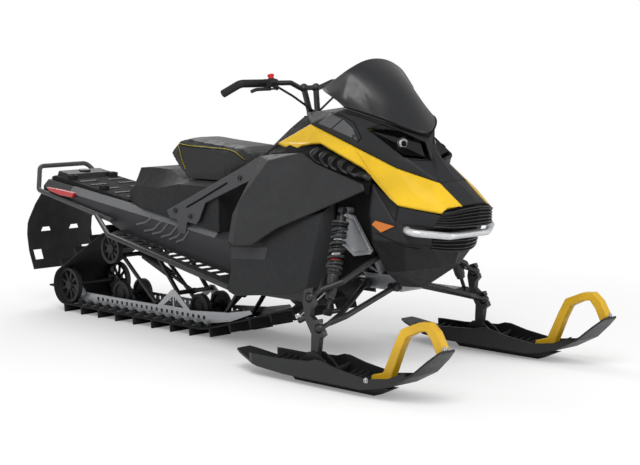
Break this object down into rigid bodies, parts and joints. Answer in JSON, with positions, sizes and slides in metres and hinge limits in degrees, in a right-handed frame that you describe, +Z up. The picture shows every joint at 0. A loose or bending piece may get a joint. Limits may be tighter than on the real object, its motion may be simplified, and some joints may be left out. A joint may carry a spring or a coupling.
{
  "type": "snowmobile",
  "caption": "Single-seat trail snowmobile with a lugged drive track, steered twin skis, tied front arms, a saddle, a short windscreen and tubular bumpers.",
  "frame": {"origin": "on the ground under the middle of the bounding box", "axes": "+X forward to the ski tips, +Y to the rider's left, +Z up"},
  "size_m": [3.2, 1.158, 1.274],
  "materials": {
    "yellow_panel": "gloss",
    "black_panel": "satin",
    "black_gloss": "gloss",
    "seat_cover": "grained vinyl",
    "tunnel_metal": "satin",
    "bare_aluminium": "satin",
    "cast_aluminium": "cast",
    "black_steel": "satin",
    "bright_steel": "brushed",
    "track_rubber": "matte",
    "flap_rubber": "matte",
    "wheel_plastic": "satin",
    "ski_plastic": "satin",
    "smoked_screen": "smoked",
    "lamp_lens": "clear",
    "red_lens": "gloss",
    "orange_lens": "gloss",
    "grip_rubber": "matte"
  },
  "bodies": {
    "chassis": {"accent_panels": "yellow_panel", "belly_pan": "black_panel", "bulkhead": "cast_aluminium", "cargo_deck": "black_panel", "console": "black_panel", "drive_shaft": "wheel_plastic", "engine": "cast_aluminium", "frame_braces": "black_steel", "front_bumper": "bare_aluminium", "front_shocks": "bright_steel", "grilles": "black_gloss", "headlamps": "lamp_lens", "hood": "black_panel", "idler_wheels": "wheel_plastic", "intake_ribs": "black_panel", "lower_arms": "black_steel", "lower_panels": "black_panel", "marker_lamps": "orange_lens", "nose_cone": "black_panel", "rear_bumper": "black_steel", "rear_wheels": "wheel_plastic", "running_boards": "black_steel", "seat": "seat_cover", "side_panel_left": "black_panel", "side_panel_right": "black_panel", "skid_arms": "black_steel", "slide_rails": "bare_aluminium", "snow_flap": "flap_rubber", "storage_box": "black_panel", "tail_lamps": "red_lens", "track": "track_rubber", "tunnel": "tunnel_metal", "upper_arms": "black_steel", "windscreen": "smoked_screen"},
    "steering": {"handlebar": "black_steel", "grips": "grip_rubber", "controls": "black_gloss", "handlebar_cables": "black_gloss"},
    "spindle_right": {"spindle_right": "black_steel"},
    "spindle_left": {"spindle_left": "black_steel"},
    "tie_rod_right": {"tie_rod_right": "bright_steel"},
    "tie_rod_left": {"tie_rod_left": "bright_steel"},
    "ski_right": {"ski_right": "ski_plastic", "ski_loop_right": "yellow_panel"},
    "ski_left": {"ski_left": "ski_plastic", "ski_loop_left": "yellow_panel"}
  },
  "joints": [
    {"name": "handlebar", "type": "hinge", "parent": "chassis", "child": "steering", "pos_m": [0.385, 0, 1.034], "axis": [-0.4067, 0, 0.9135], "range_deg": [-28, 28]},
    {"name": "spindle_right", "type": "hinge", "parent": "chassis", "child": "spindle_right", "pos_m": [0.933, -0.495, 0.219], "axis": [-0.4067, 0, 0.9135], "range_deg": [-28, 28]},
    {"name": "tie_rod_right", "type": "hinge", "parent": "spindle_right", "child": "tie_rod_right", "pos_m": [0.81172, -0.495, 0.2357], "axis": [-0.4067, 0, 0.9135], "range_deg": [-28, 28]},
    {"name": "ski_right", "type": "hinge", "parent": "spindle_right", "child": "ski_right", "pos_m": [0.906, -0.495, 0.108], "axis": [0, 1, 0], "range_deg": [-20, 12]},
    {"name": "spindle_left", "type": "hinge", "parent": "chassis", "child": "spindle_left", "pos_m": [0.933, 0.495, 0.219], "axis": [-0.4067, 0, 0.9135], "range_deg": [-28, 28]},
    {"name": "tie_rod_left", "type": "hinge", "parent": "spindle_left", "child": "tie_rod_left", "pos_m": [0.81172, 0.495, 0.2357], "axis": [-0.4067, 0, 0.9135], "range_deg": [-28, 28]},
    {"name": "ski_left", "type": "hinge", "parent": "spindle_left", "child": "ski_left", "pos_m": [0.906, 0.495, 0.108], "axis": [0, 1, 0], "range_deg": [-20, 12]}
  ],
  "couplings": [
    {"joint": "spindle_right", "follows": "handlebar", "ratio": 1},
    {"joint": "tie_rod_right", "follows": "handlebar", "ratio": -1},
    {"joint": "spindle_left", "follows": "handlebar", "ratio": 1},
    {"joint": "tie_rod_left", "follows": "handlebar", "ratio": -1}
  ]
}
